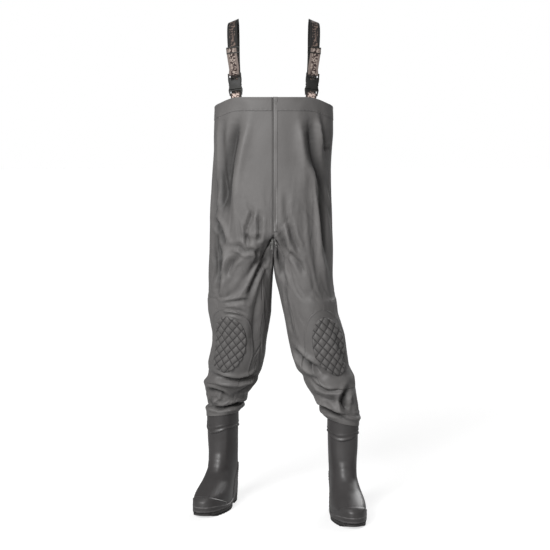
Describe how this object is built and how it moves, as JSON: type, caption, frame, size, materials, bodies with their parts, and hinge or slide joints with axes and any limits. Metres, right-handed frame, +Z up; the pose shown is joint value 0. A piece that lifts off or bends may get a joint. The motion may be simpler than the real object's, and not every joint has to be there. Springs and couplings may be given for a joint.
{
  "type": "chest waders",
  "caption": "Chest waders: a one-piece coated-fabric bib and legs bonded to rubber boots, with knee pads and buckled, adjustable shoulder straps.",
  "frame": {"origin": "centre of the bounding box, on the floor under the boot soles", "axes": "+Z up along the wearer, -Y towards the wearer's front, +X towards the wearer's left"},
  "size_m": [0.5299, 0.4214, 1.4638],
  "materials": {
    "shell_fabric": "matt grey-brown coated nylon with a faint weave and a soft crease sheen",
    "patch_fabric": "smooth welded reinforcement of the same coated nylon",
    "pad_fabric": "quilted padded fabric in a diamond pattern",
    "seam_tape": "flat welded seam tape",
    "boot_pvc": "dark grey moulded PVC, satin, with a fine moulded grain",
    "outsole_rubber": "black matt cleated rubber",
    "insole_felt": "beige felt",
    "webbing": null,
    "buckle_plastic": "black moulded acetal with a soft sheen"
  },
  "bodies": {
    "garment": {"left_panel": "shell_fabric", "left_hem_band": "shell_fabric", "left_knee_patch": "patch_fabric", "left_knee_pad": "pad_fabric", "left_front_anchor": "patch_fabric", "left_back_anchor": "patch_fabric", "left_front_tab": "webbing", "left_buckle_insert": "buckle_plastic", "left_front_strap": "webbing", "left_back_strap": "webbing", "left_ankle_fabric": "shell_fabric", "right_panel": "shell_fabric", "right_hem_band": "shell_fabric", "right_knee_patch": "patch_fabric", "right_knee_pad": "pad_fabric", "right_front_anchor": "patch_fabric", "right_back_anchor": "patch_fabric", "right_front_tab": "webbing", "right_buckle_insert": "buckle_plastic", "right_front_strap": "webbing", "right_back_strap": "webbing", "right_ankle_fabric": "shell_fabric", "front_seam_tape": "seam_tape", "back_seam_tape": "seam_tape", "chest_pocket": "patch_fabric"},
    "left_boot": {"left_boot_upper": "boot_pvc", "left_outsole": "outsole_rubber", "left_insole": "insole_felt", "left_toe_cap": "boot_pvc", "left_heel_counter": "boot_pvc", "left_boot_cuff": "boot_pvc"},
    "left_socket": {"left_buckle_socket": "buckle_plastic", "left_strap_loop": "webbing"},
    "left_slider": {"left_slider": "buckle_plastic"},
    "left_outer_prong": {"left_prong_outer": "buckle_plastic"},
    "left_inner_prong": {"left_prong_inner": "buckle_plastic"},
    "right_boot": {"right_boot_upper": "boot_pvc", "right_outsole": "outsole_rubber", "right_insole": "insole_felt", "right_toe_cap": "boot_pvc", "right_heel_counter": "boot_pvc", "right_boot_cuff": "boot_pvc"},
    "right_socket": {"right_buckle_socket": "buckle_plastic", "right_strap_loop": "webbing"},
    "right_slider": {"right_slider": "buckle_plastic"},
    "right_outer_prong": {"right_prong_outer": "buckle_plastic"},
    "right_inner_prong": {"right_prong_inner": "buckle_plastic"}
  },
  "joints": [
    {"name": "left_boot_swing", "type": "hinge", "parent": "garment", "child": "left_boot", "pos_m": [0.19532, -0.00959, 0.31], "axis": [1, 0, 0], "range_deg": [-18, 18], "deforming": ["left_ankle_fabric"]},
    {"name": "left_buckle_release", "type": "slide", "parent": "garment", "child": "left_socket", "axis": [0.0754, 0.2145, 0.9738], "range_m": [0, 0.026], "deforming": ["left_front_strap"]},
    {"name": "left_slider_adjust", "type": "slide", "parent": "left_socket", "child": "left_slider", "axis": [0.0754, 0.2145, 0.9738], "range_m": [-0.034, 0]},
    {"name": "left_outer_prong_squeeze", "type": "hinge", "parent": "garment", "child": "left_outer_prong", "pos_m": [0.11139, -0.08179, 1.2567], "axis": [-0.2375, 0.9524, -0.1914], "range_deg": [-10, 0], "stiffness_Nm_per_rad": 0.02},
    {"name": "left_inner_prong_squeeze", "type": "hinge", "parent": "garment", "child": "left_inner_prong", "pos_m": [0.08621, -0.08743, 1.25989], "axis": [-0.2375, 0.9524, -0.1914], "range_deg": [0, 10], "stiffness_Nm_per_rad": 0.02},
    {"name": "right_boot_swing", "type": "hinge", "parent": "garment", "child": "right_boot", "pos_m": [-0.16567, 0.11541, 0.31], "axis": [1, 0, 0], "range_deg": [-18, 18], "deforming": ["right_ankle_fabric"]},
    {"name": "right_buckle_release", "type": "slide", "parent": "garment", "child": "right_socket", "axis": [-0.0754, 0.2145, 0.9738], "range_m": [0, 0.026], "deforming": ["right_front_strap"]},
    {"name": "right_slider_adjust", "type": "slide", "parent": "right_socket", "child": "right_slider", "axis": [-0.0754, 0.2145, 0.9738], "range_m": [-0.034, 0]},
    {"name": "right_outer_prong_squeeze", "type": "hinge", "parent": "garment", "child": "right_outer_prong", "pos_m": [-0.13274, -0.08179, 1.2567], "axis": [0.2375, 0.9524, -0.1914], "range_deg": [0, 10], "stiffness_Nm_per_rad": 0.02},
    {"name": "right_inner_prong_squeeze", "type": "hinge", "parent": "garment", "child": "right_inner_prong", "pos_m": [-0.10756, -0.08743, 1.25989], "axis": [0.2375, 0.9524, -0.1914], "range_deg": [-10, 0], "stiffness_Nm_per_rad": 0.02}
  ]
}
